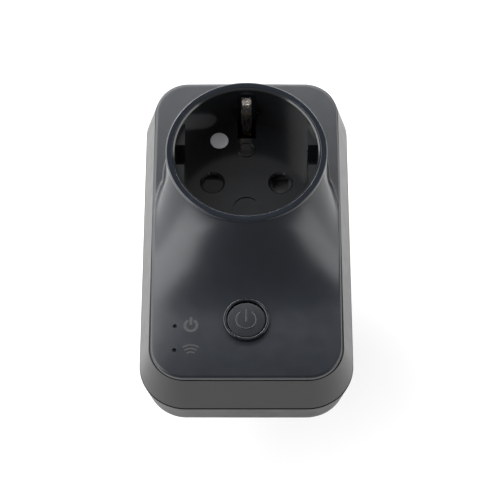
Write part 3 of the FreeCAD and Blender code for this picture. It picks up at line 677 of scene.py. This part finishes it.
def button_ring():
    """The glossy ring round the cap."""
    inner = BEZEL_R - 0.7
    edge_round = 0.24
    section = rounded_profile((
        (inner, bezel_low.z, 0.0), (BEZEL_R, bezel_low.z, 0.0),
        (BEZEL_R, bezel_high.z, edge_round), (inner, bezel_high.z, edge_round),
    ), 10)
    vertices, faces = lathe(section, 0.0, BUTTON_Y)
    add_piece("button_ring", vertices, faces, "case", "bezel_gloss", ["button_bezel"], 60.0)


# ------------------------------------------------------------------ socket and plug details

def seal():
    """The pale seal, a thin disc with a softly rolled edge."""
    x = (disc_low.x + disc_high.x) / 2
    y = (disc_low.y + disc_high.y) / 2
    radius = (disc_high.x - disc_low.x) / 2
    low, top = disc_low.z, disc_high.z
    profile = [(0.0, top), (radius * 0.5, top), (radius - 0.15, top), (radius - 0.05, top - 0.04),
               (radius, top - 0.12), (radius, low), (0.0, low)]
    vertices, faces = lathe(profile, x, y, 96)
    add_piece("seal_label", vertices, faces, "case", "seal_paper", ["seal_disc"], 50.0)


def clip_path(low, high, side):
    """Smooth (y, z) path of an earth clip, from its foot to its flared end."""
    corners = [
        Vector((18.1, low.z + 0.3)), Vector((18.3, RIM_Z - 14.0)), Vector((17.9, RIM_Z - 9.9)),
        Vector((17.4, RIM_Z - 8.3)), Vector((17.5, RIM_Z - 6.7)), Vector((17.9, RIM_Z - 5.3)),
        Vector((18.5, RIM_Z - 4.3)), Vector((18.9, high.z - 0.35)),
    ]
    points = []
    for i in range(len(corners) - 1):
        p0 = corners[max(0, i - 1)]
        p1, p2 = corners[i], corners[i + 1]
        p3 = corners[min(len(corners) - 1, i + 2)]
        for k in range(8):
            t = k / 8
            points.append(0.5 * (2 * p1 + (p2 - p0) * t + (2 * p0 - 5 * p1 + 4 * p2 - p3) * t ** 2
                                 + (3 * p1 - p0 - 3 * p2 + p3) * t ** 3))
    points.append(corners[-1])
    return [(side * p.x, p.y) for p in points]


def earth_clip(node, name, body, side):
    """A bent plated strip with rounded edges and a pressed dimple at its nose."""
    low, high = box_mm(node)
    half = (high.x - low.x) / 2
    thickness = 0.6
    nose_z = RIM_Z - 7.6
    dimple_depth = 0.28
    path = clip_path(low, high, side)
    foot_points = 8
    across = 14
    vertices = []
    for k, (y, z) in enumerate(path):
        before = path[max(0, k - 1)]
        after = path[min(len(path) - 1, k + 1)]
        along = Vector((after[0] - before[0], after[1] - before[1])).normalized()
        inward = Vector((-along.y, along.x)) * side
        ring = []
        for face in (1, -1):
            for j in range(across + 1):
                u = -1 + 2 * j / across
                edge = max(0.0, (abs(u) - 0.86) / 0.14)
                depth = thickness / 2 * (1 - 0.7 * edge ** 2)
                x = half * u * face
                pressed = 0.0
                if k > foot_points:
                    pressed = dimple_depth * math.exp(-(x * x + (z - nose_z) ** 2) / 0.75)
                offset = face * depth - pressed
                ring.append((x, y + inward.x * offset, z + inward.y * offset))
        vertices += ring
    count = len(ring)
    faces = grid_faces(len(path), count, False, True)
    faces += end_faces(len(path), count)
    add_piece(name, vertices, faces, body, "nickel_plate", [node], 55.0)


def pin(node, name):
    """A plug pin: a round shank with a rolled shoulder and a domed tip, and its flattened tail."""
    low, high = box_mm(node)
    x = (low.x + high.x) / 2
    radius = 2.4
    root_r = (high.x - low.x) / 2
    tip = 1.5
    face_z = 0.02                       # the pin's root starts at the plug's face
    tail_z = high.z - 2.4
    tail_half_x, tail_half_y = 1.9, 0.5
    profile = [(0.0, low.z)]
    profile += [(radius * math.sin(a), low.z + tip * (1 - math.cos(a)))
                for a in (math.radians(d) for d in range(10, 91, 8))]
    profile += [(radius, -0.3), (radius + 0.08, face_z), (root_r, face_z),
                (root_r, tail_z), (0.0, tail_z)]
    shank = lathe(profile, x, 0.0, 72)
    corners = [
        (x + sx * tail_half_x, sy * tail_half_y, z)
        for z in (tail_z, high.z)
        for sx, sy in ((-1, -1), (1, -1), (1, 1), (-1, 1))
    ]
    sides = [(0, 1, 5, 4), (1, 2, 6, 5), (2, 3, 7, 6), (3, 0, 4, 7), (3, 2, 1, 0), (4, 5, 6, 7)]
    vertices, faces = join([shank, (corners, sides)])
    add_piece(name, vertices, faces, "case", "nickel_plate", [node], 40.0)


cover()
printed_marks()
button_cap()
button_symbol()
button_ring()
seal()
earth_clip("earth_clip_top", "clip_top", "top_clip", 1)
earth_clip("earth_clip_bottom", "clip_bottom", "bottom_clip", -1)
pin("plug_pin_neutral", "pin_neutral")
pin("plug_pin_line", "pin_line")


# ------------------------------------------------------------------ studio

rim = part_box("front_cover")[1].z
ground = cad_bounds[0][2]


def studio_floor():
    """A wide pale table under the object, lit from below as well."""
    mesh = bpy.data.meshes.new("floor")
    half = 3.0
    mesh.from_pydata(
        [(-half, -half, ground), (half, -half, ground), (half, half, ground), (-half, half, ground)],
        [], [(0, 1, 2, 3)])
    floor = bpy.data.objects.new("floor", mesh)
    bpy.context.scene.collection.objects.link(floor)
    material, nodes, links, shader, place = new_material("floor_paper")
    cloud = noise(nodes, links, place, 4.0, 2.0)
    dark, light = (0.52, 0.52, 0.52), (0.54, 0.54, 0.54)
    links.new(tint(nodes, links, cloud.outputs["Fac"], dark, light), shader.inputs["Base Color"])
    shader.inputs["Roughness"].default_value = 0.9
    shader.inputs["Specular IOR Level"].default_value = 0.1
    shader.inputs["Emission Color"].default_value = (1.0, 1.0, 1.0, 1)
    shader.inputs["Emission Strength"].default_value = 0.40
    mesh.materials.append(material)


def softbox(name, azimuth, elevation, distance, size, radiance):
    """A rectangular area light facing the object; azimuth from +X towards +Y, in degrees."""
    around, up = math.radians(azimuth), math.radians(elevation)
    out = Vector((math.cos(around) * math.cos(up), math.sin(around) * math.cos(up), math.sin(up)))
    light = bpy.data.lights.new(name, "AREA")
    light.shape = "RECTANGLE"
    light.size, light.size_y = size
    light.energy = radiance * math.pi * size[0] * size[1]
    lamp = bpy.data.objects.new(name, light)
    bpy.context.scene.collection.objects.link(lamp)
    aim = Vector((0, -0.01, 0.03))
    lamp.location = aim + out * distance
    lamp.rotation_euler = (-out).to_track_quat("-Z", "Y").to_euler()


def studio_light():
    """A dim room with three softboxes: wide on the left, low on the right, high at the back."""
    world = bpy.data.worlds.new("studio")
    bpy.context.scene.world = world
    world.use_nodes = True
    background = world.node_tree.nodes["Background"]
    background.inputs["Color"].default_value = (1.0, 1.0, 1.0, 1)
    background.inputs["Strength"].default_value = 0.31
    softbox("left_softbox", 163, 33, 0.9, (1.75, 1.05), 4.3)
    softbox("right_softbox", 8, 20, 0.9, (1.05, 0.62), 3.0)
    softbox("back_softbox", 90, 39, 1.0, (1.0, 0.26), 13.0)


def camera():
    """The view from the button end, 28 degrees off the socket's axis."""
    lean = math.radians(28.0)
    distance = 0.483
    look_at = Vector((0.00096, -0.03056, rim))
    direction = Vector((0, math.sin(lean), -math.cos(lean)))
    data = bpy.data.cameras.new("camera")
    data.lens = 132.5
    data.sensor_width = 36.0
    data.clip_start = 0.01
    data.clip_end = 20.0
    obj = bpy.data.objects.new("camera", data)
    bpy.context.scene.collection.objects.link(obj)
    obj.location = look_at - direction * distance
    obj.rotation_euler = (lean, 0, 0)
    bpy.context.scene.camera = obj


studio_floor()
studio_light()
camera()
bpy.context.scene.view_settings.view_transform = "Standard"
